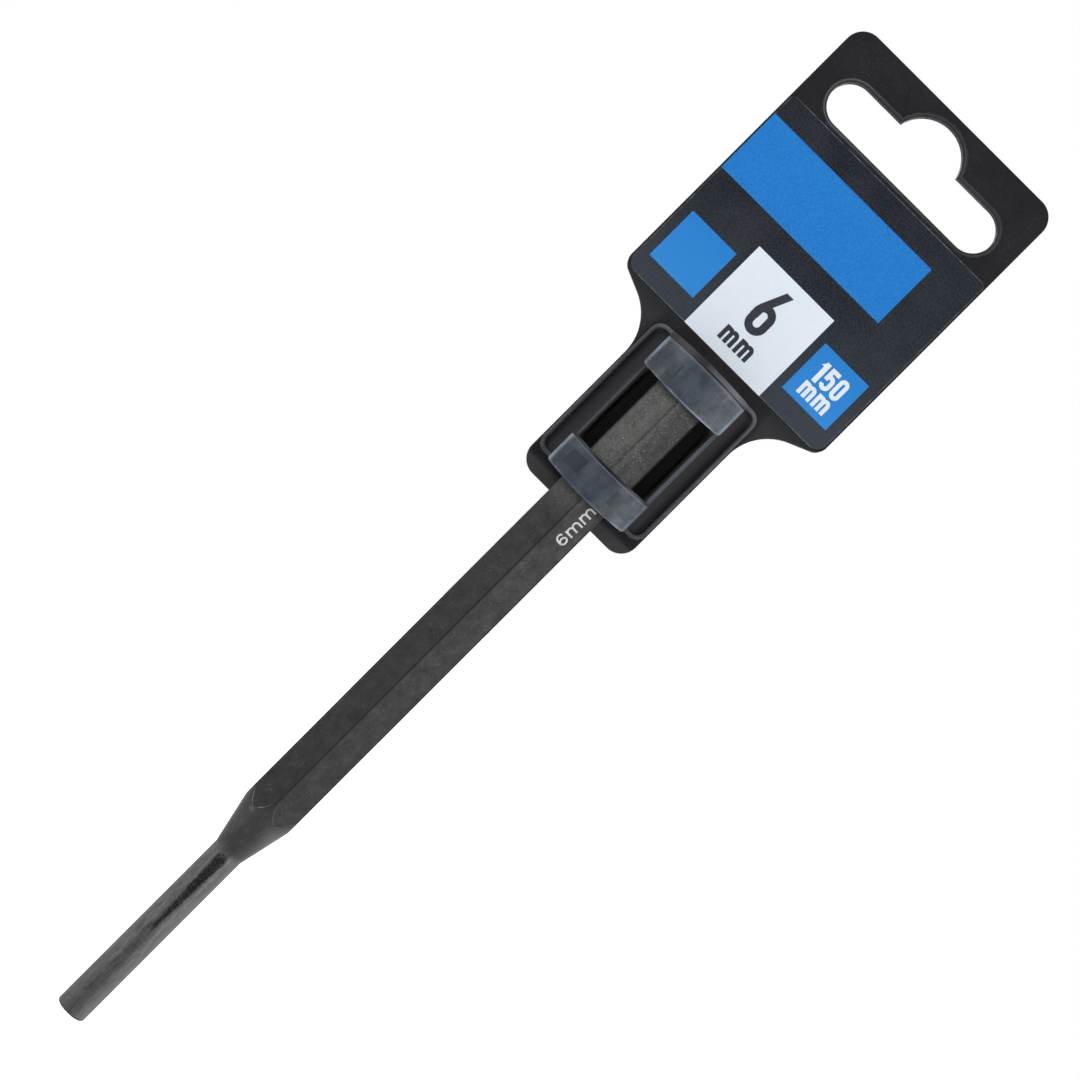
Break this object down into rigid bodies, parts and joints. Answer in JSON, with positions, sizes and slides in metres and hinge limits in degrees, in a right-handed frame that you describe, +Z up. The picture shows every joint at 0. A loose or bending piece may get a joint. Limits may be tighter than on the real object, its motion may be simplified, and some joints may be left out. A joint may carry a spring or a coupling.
{
  "type": "pin punch",
  "caption": "Pin punch with hexagonal shank, tapered neck and round pin, slid into a moulded hanger card with a peg slot and a two-strap holder.",
  "frame": {"origin": "centre of the round peg seat of the hang slot, on the hanger's flat back face", "axes": "+Z up along the punch towards its struck end and the hang slot, front facing -Y, +X to the right seen from the front"},
  "size_m": [0.048, 0.0147, 0.2177],
  "materials": {
    "blackened_steel": "black oxide, satin, with speckled flats and worn edges",
    "black_plastic": "black moulded polypropylene with a fine matt grain",
    "strap_plastic": "thin blue-grey moulded polypropylene, slightly frosted",
    "label_print": "satin film label printed black, blue and white"
  },
  "bodies": {
    "hanger": {"hanger_card": "black_plastic", "holder_channel": "black_plastic", "upper_strap": "strap_plastic", "lower_strap": "strap_plastic", "label": "label_print"},
    "punch": {"punch": "blackened_steel"}
  },
  "joints": [
    {"name": "punch_slide", "type": "slide", "parent": "hanger", "child": "punch", "axis": [0, 0, -1], "range_m": [-0.0042, 0.045]}
  ]
}
